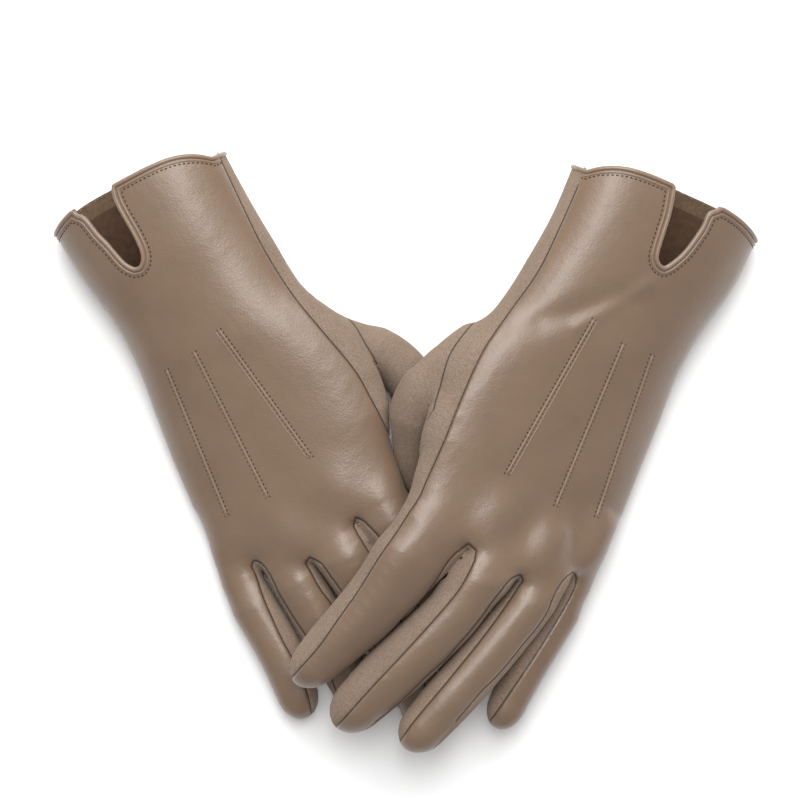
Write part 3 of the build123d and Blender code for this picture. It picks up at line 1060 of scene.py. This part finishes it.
def leather(name, colour, deep):
    """Smooth leather with a fine pebbled grain, and a dark seam line with painted shade in the seam
    grooves.
    """
    made, tree, shader = new_material(name)
    broad = ramp(tree, noise(tree, 45, 3), [(0.3, deep), (0.7, colour)])
    seam = seam_shade(tree, 0.42)
    # Painted shade: the colour darkens towards the seam lines and cut edges, for the grooves' shade
    # and the dark seam line.
    shaded = mixed(tree, seam, tuple(0.18 * value for value in colour), broad)
    tree.links.new(shaded, shader.inputs["Base Color"])
    shader.inputs["Roughness"].default_value = 0.34
    shader.inputs["Sheen Weight"].default_value = 0.08
    shader.inputs["Sheen Roughness"].default_value = 0.5
    shader.inputs["Specular IOR Level"].default_value = 0.55
    place = tree.nodes.new("ShaderNodeTexCoord")
    pebbles = node(tree, "ShaderNodeTexVoronoi", {"Scale": 1500.0}, feature="SMOOTH_F1")
    tree.links.new(place.outputs["Object"], pebbles.inputs["Vector"])
    grain = node(tree, "ShaderNodeBump", {"Strength": 0.22, "Distance": 0.0002})
    tree.links.new(pebbles.outputs["Distance"], grain.inputs["Height"])
    soft = node(tree, "ShaderNodeBump", {"Strength": 0.12, "Distance": 0.0008})
    tree.links.new(noise(tree, 260, 2), soft.inputs["Height"])
    tree.links.new(soft.outputs["Normal"], grain.inputs["Normal"])
    tree.links.new(grain.outputs["Normal"], shader.inputs["Normal"])
    return made


def suede(name, colour, deep):
    """Short-napped suede, flecked light and dark, and a dark seam line with painted shade in the seam
    grooves.
    """
    made, tree, shader = new_material(name)
    broad = ramp(tree, noise(tree, 60, 3), [(0.3, deep), (0.7, colour)])
    flecks = [(0.36, (0.72, 0.72, 0.72)), (0.62, (1.12, 1.12, 1.12))]
    speckle = ramp(tree, noise(tree, 1900, 2, 0.7), flecks)
    napped = mixed(tree, 1.0, broad, speckle, "MULTIPLY")
    seam = seam_shade(tree, 0.42)
    # Painted shade: the colour darkens towards the seam lines and cut edges, for the grooves' shade
    # and the dark seam line.
    shaded = mixed(tree, seam, tuple(0.18 * value for value in colour), napped)
    tree.links.new(shaded, shader.inputs["Base Color"])
    shader.inputs["Roughness"].default_value = 0.95
    shader.inputs["Specular IOR Level"].default_value = 0.12
    shader.inputs["Sheen Weight"].default_value = 0.16
    shader.inputs["Sheen Roughness"].default_value = 0.6
    shader.inputs["Sheen Tint"].default_value = (0.9, 0.72, 0.56, 1)
    nap = node(tree, "ShaderNodeBump", {"Strength": 0.45, "Distance": 0.0003})
    tree.links.new(noise(tree, 2300, 3, 0.7), nap.inputs["Height"])
    tree.links.new(nap.outputs["Normal"], shader.inputs["Normal"])
    return made


def plain_cloth(name, colour, scale, rough=0.95):
    """Cloth or thread of one colour with a soft surface."""
    made, tree, shader = new_material(name)
    deep = tuple(0.7 * value for value in colour)
    tone = ramp(tree, noise(tree, scale, 3), [(0.3, deep), (0.7, colour)])
    tree.links.new(tone, shader.inputs["Base Color"])
    shader.inputs["Roughness"].default_value = rough
    shader.inputs["Specular IOR Level"].default_value = 0.15
    nap = node(tree, "ShaderNodeBump", {"Strength": 0.4, "Distance": 0.0003})
    tree.links.new(noise(tree, scale * 1.3, 3), nap.inputs["Height"])
    tree.links.new(nap.outputs["Normal"], shader.inputs["Normal"])
    return made


LEATHER = leather("smooth_leather", (0.185, 0.122, 0.08), (0.162, 0.105, 0.068))
BINDING = leather("binding_leather", (0.225, 0.152, 0.102), (0.2, 0.133, 0.088))
SUEDE = suede("micro_suede", (0.235, 0.172, 0.13), (0.2, 0.145, 0.108))
HEM = plain_cloth("hem_cloth", (0.115, 0.075, 0.046), 700)
LINING = plain_cloth("brushed_lining", (0.07, 0.04, 0.024), 420)
PAD = suede("conductive_suede", (0.17, 0.125, 0.09), (0.15, 0.11, 0.08))
THREAD = plain_cloth("thread", (0.055, 0.036, 0.024), 2500, rough=0.7)


def finish_piece(thing, replaced, side, digit=None):
    """Puts a piece on the hand's body, or for a digit's piece only bakes its transform, and hides the
    CAD parts it replaces.
    """
    if digit is None:
        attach(thing, f"{side}_hand")
    else:
        place, way = bend_plane(GLOVES[side], digit)
        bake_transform(thing)
    if replaced:
        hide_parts(*replaced)


def edge_lines(skin, inset):
    """The lines that run round the cuff at a distance in from its edge."""
    return [line for line in field_lines(skin, "keep", inset) if len(line["points"]) >= 60]


def cuff_trim(side, skin):
    """The bound edge of the cuff: two beads with a groove between, and the stitches beside them."""
    parts = []
    for line in edge_lines(skin, OUTER_BEAD_AT):
        around = [*range(len(line["points"])), 0, 1]
        points, normals = spread(line["points"][around], line["normals"][around], 1.2)
        parts.append(bead(points, normals, 0.85, sides=10, taper=False))
    for line in edge_lines(skin, INNER_BEAD_AT):
        leather_side = (line["fields"]["back"] > 0.3) | (np.abs(line["fields"]["angle"]) < 60)
        for run in runs(leather_side):
            if len(run) > 30:
                points, normals = spread(line["points"][run], line["normals"][run], 1.2)
                parts.append(bead(points - 0.12 * normals, normals, 0.55))
    trim = gathered(f"{side}_cuff_binding_beads", parts, BINDING)
    finish_piece(trim, [f"{side}_cuff_binding"], side)
    made = []
    for line in edge_lines(skin, EDGE_STITCHES_AT):
        leather_side = (line["fields"]["back"] > 0.8) & (np.abs(line["fields"]["angle"]) < 95)
        for run in runs(leather_side):
            if len(run) > 30:
                made += stitches(line["points"][run], line["normals"][run], 1.75)
    thread = gathered(f"{side}_cuff_edge_stitches", made, THREAD)
    finish_piece(thread, [f"{side}_cuff_stitching"], side)


def back_pintucks(side, glove, skin):
    """Three raised tucks on the back of the hand, with stitches on both sides of each."""
    tree = BVHTree.FromPolygons(skin["points"].tolist(), skin["triangles"].tolist())
    ridges, threads = [], []
    for number, (start, stop) in enumerate(glove["pintucks"]):
        points, normals = dropped(tree, glove, start, stop)
        ridges.append(bead(points - 0.1 * normals, normals, 0.42))
        for offset in (-0.85, 0.85 if number else 0.75):
            shift = np.array([0.0, offset])
            line, facing = dropped(tree, glove, start + shift, stop + shift)
            length, radius = (0.95, 0.25) if offset < 0 else (0.7, 0.19)
            threads += stitches(line - 0.05 * facing, facing, 1.7, length, radius)
        if number == 0:
            shift = np.array([0.0, 1.5])
            line, facing = dropped(tree, glove, start + shift, stop + shift)
            ridges.append(bead(line - 0.1 * facing, facing, 0.3))
    tucks = gathered(f"{side}_back_pintucks", ridges, BINDING)
    finish_piece(tucks, [f"{side}_pintucks"], side)
    thread = gathered(f"{side}_pintuck_stitches", threads, THREAD)
    finish_piece(thread, [f"{side}_pintuck_stitching"], side)


def linings(side, glove, skin, middle):
    """The hem inside the palm's rim, the lining seen at the cuff, and that of hand and digits."""
    keep, angle, along = middle("keep"), middle("angle"), middle("along")
    palm_side = (np.abs(angle) > 80) | (middle("back") < 0)
    band = take(skin, palm_side & (keep > HEM_START) & (keep < HEM_STOP) & (along < 30))
    hem = panel(f"{side}_palm_hem_band", moved(band, -HEM_DROP), HEM, THIN_CLOTH)
    finish_piece(hem, [f"{side}_palm_hem"], side)
    inner = (keep > HEM_STOP) | (~palm_side & (keep > LINING_START))
    lined = moved(take(skin, inner & (along < CUFF_LINING_STOP)), -CUFF_LINING_DROP)
    cuff = panel(f"{side}_cuff_lining", lined, LINING, THIN_CLOTH)
    finish_piece(cuff, [f"{side}_hand_lining"], side)
    tube, rings, around = hand_tube(glove, 3.4, 60.0, 138.0)
    name = f"{side}_hand_inner_lining"
    inside = gathered(name, [(tube, tube_faces(rings, around))], LINING)
    finish_piece(inside, [], side)
    for digit in glove["digits"]:
        tube, rings, around = digit_tube(glove, digit, 2.8, 0.0, 10.0)
        name = f"{side}_{digit}_inner_lining"
        inside = gathered(name, [(tube, tube_faces(rings, around))], LINING)
        finish_piece(inside, [f"{side}_{digit}_lining"], side, digit)


def build_glove(side):
    """One glove: its skin, its trim, and the skin cut into panels along the seams."""
    glove = GLOVES[side]
    smooth_pattern_lines(glove)
    skin = glove_skin(glove)
    cut(skin, "keep")
    skin = take(skin, skin["fields"]["keep"][skin["triangles"]].mean(1) > 0)
    back_pintucks(side, glove, skin)
    cuff_trim(side, skin)
    for level in (-0.8, 0.8, -0.35, 0.35, 0.0):
        cut(skin, "back", level)
    for level in (-0.7, 0.7, 0.0):
        cut(skin, "thumb", level)
    for level in (-0.5, 0.5, 0.0):
        cut(skin, "side", level)
    cut(skin, "pad")
    cut(skin, "keep", HEM_STOP)
    cut(skin, "keep", LINING_START)
    cut(skin, "bend")
    fields = skin["fields"]
    seams = np.min([np.abs(fields[name]) for name in ("back", "thumb", "side")], axis=0)
    push(skin, -SEAM_GROOVE_DEPTH * np.exp(-((seams / SEAM_GROOVE_WIDTH) ** 2)))
    skin["normals"] = point_normals(skin["points"], skin["triangles"])
    triangles = skin["triangles"]

    def middle(name):
        return fields[name][triangles].mean(1)

    is_back = middle("back") > 0
    is_thumb = middle("thumb") > 0
    bent = middle("bend") > 0
    is_side = middle("side") > 0
    owner = np.sort(fields["owner"][triangles], axis=1)[:, 1].astype(int)
    digits = list(glove["digits"])
    thumb_number = digits.index("thumb")
    hand = ~(bent & (owner != thumb_number)) & ~is_thumb
    piece = panel(f"{side}_glove_back", take(skin, hand & is_back), LEATHER)
    finish_piece(piece, [f"{side}_back_panel"], side)
    piece = panel(f"{side}_glove_palm", take(skin, hand & ~is_back), SUEDE)
    finish_piece(piece, [f"{side}_palm_panel"], side)
    piece = panel(f"{side}_thumb", take(skin, is_thumb), SUEDE)
    finish_piece(piece, [f"{side}_thumb_shell"], side, "thumb")
    for number, digit in enumerate(FINGERS):
        mine = bent & (owner == number) & ~is_thumb
        piece = panel(f"{side}_{digit}_finger_back", take(skin, mine & is_back), LEATHER)
        finish_piece(piece, [f"{side}_{digit}_back"], side, digit)
        piece = panel(f"{side}_{digit}_finger_sides", take(skin, mine & ~is_back & is_side), SUEDE)
        finish_piece(piece, [f"{side}_{digit}_fourchettes"], side, digit)
        piece = panel(f"{side}_{digit}_finger_front", take(skin, mine & ~is_back & ~is_side), SUEDE)
        finish_piece(piece, [f"{side}_{digit}_front"], side, digit)
    for digit in ("index", "thumb"):
        number = digits.index(digit)
        spot = take(skin, (middle("pad") > 0) & (owner == number))
        piece = panel(f"{side}_{digit}_tip_pad", moved(spot, PAD_RISE), PAD, PAD_THICKNESS)
        finish_piece(piece, [f"{side}_{digit}_touch_pad"], side, digit)
    linings(side, glove, skin, middle)



def floor():
    """The white paper under the gloves."""
    bpy.ops.object.select_all(action="DESELECT")
    bpy.ops.mesh.primitive_plane_add(size=6.0, location=(0, 0, -0.0003))
    ground = bpy.context.object
    ground.name = "floor"
    made, tree, shader = new_material("floor_paper")
    shader.inputs["Base Color"].default_value = (0.95, 0.95, 0.95, 1)
    shader.inputs["Roughness"].default_value = 0.9
    shader.inputs["Specular IOR Level"].default_value = 0.1
    ground.data.materials.append(made)
    ground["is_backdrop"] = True


def area_light(name, place, aim, size, power):
    data = bpy.data.lights.new(name, "AREA")
    data.shape = "RECTANGLE"
    data.size, data.size_y = size
    data.energy = power
    lamp = bpy.data.objects.new(name, data)
    lamp.location = place
    lamp.rotation_euler = (Vector(aim) - Vector(place)).to_track_quat("-Z", "Y").to_euler()
    bpy.context.scene.collection.objects.link(lamp)


def lights_and_camera():
    """Broad daylight from above the cuffs, and a camera that looks straight down."""
    world = bpy.data.worlds.new("studio")
    bpy.context.scene.world = world
    world.use_nodes = True
    world.node_tree.nodes["Background"].inputs["Color"].default_value = (1, 1, 1, 1)
    world.node_tree.nodes["Background"].inputs["Strength"].default_value = 0.33
    bpy.context.scene.view_settings.view_transform = "Standard"
    sun = bpy.data.lights.new("broad_daylight_panel", "SUN")
    sun.energy = 1.9
    sun.angle = math.radians(50)
    lamp = bpy.data.objects.new("broad_daylight_panel", sun)
    lamp.rotation_euler = (math.radians(-20), 0, 0)
    bpy.context.scene.collection.objects.link(lamp)
    area_light("window_above_the_cuffs", (0.0, 0.62, 0.62), (0, 0.05, 0), (0.9, 0.5), 6.0)
    area_light("overhead_strip", (0.0, 0.12, 0.95), (0, 0, 0), (0.16, 0.5), 2.1)
    data = bpy.data.cameras.new("camera")
    data.lens = LENS
    data.sensor_width = SENSOR
    camera = bpy.data.objects.new("camera", data)
    camera.location = (*VIEW_CENTRE, VIEW_WIDTH * LENS / SENSOR + VIEW_RAISE)
    bpy.context.scene.collection.objects.link(camera)
    bpy.context.scene.camera = camera


for side in GLOVES:
    build_glove(side)
floor()
lights_and_camera()

sizes = {"cad": cad_box, "visual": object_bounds()}
sizes = {name: [list(corner) for corner in box] for name, box in sizes.items()}
